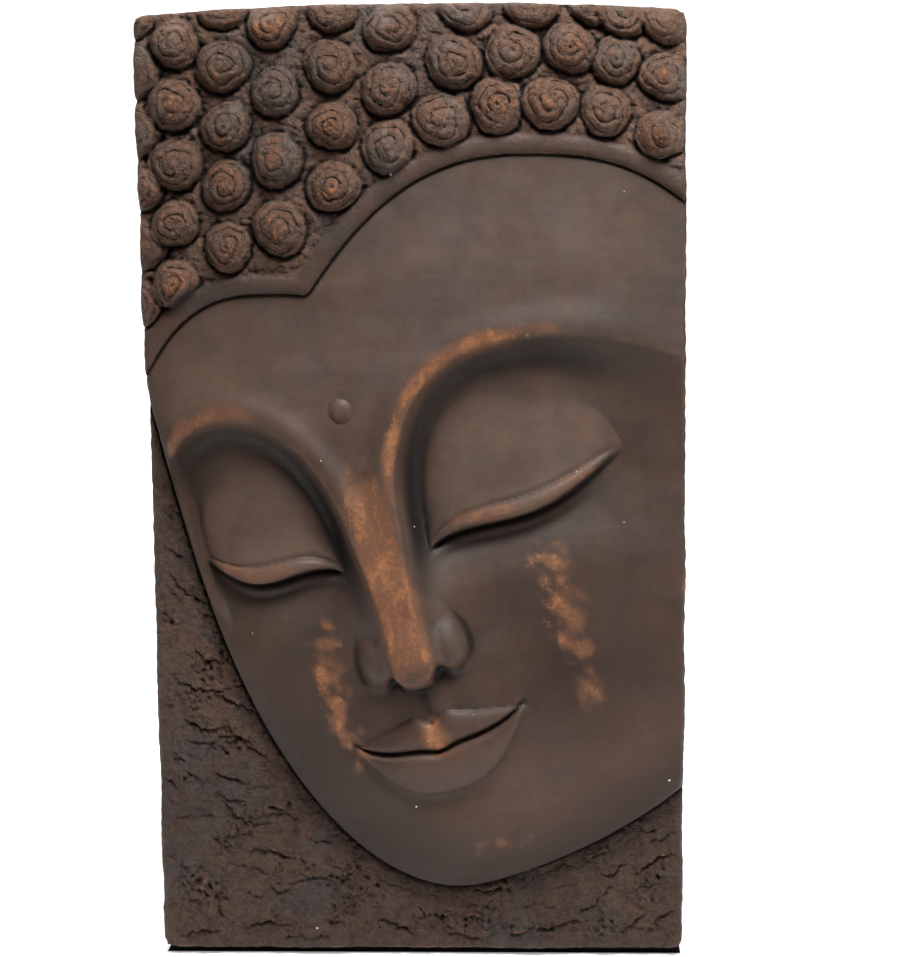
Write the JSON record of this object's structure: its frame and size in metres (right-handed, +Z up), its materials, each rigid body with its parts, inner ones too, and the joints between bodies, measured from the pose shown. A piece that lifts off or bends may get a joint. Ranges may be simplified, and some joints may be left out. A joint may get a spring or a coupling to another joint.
{
  "type": "buddha wall plaque",
  "caption": "Tall rectangular wall plaque with a calm, leaning buddha head with snail curls in relief, flat at the back with keyhole pockets.",
  "frame": {"origin": "on the flat back, midway between the two keyholes and level with the ends that the screws bear on", "axes": "+Z up the plaque, +Y out of the back into the wall, +X to the right of someone who faces the plaque"},
  "size_m": [0.448, 0.0889, 0.7999],
  "materials": {
    "cast": "cast resin with a dark brown bronze-like patina, rubbed copper on the raised edges, satin"
  },
  "bodies": {
    "root": {"plaque": "cast"}
  },
  "joints": []
}
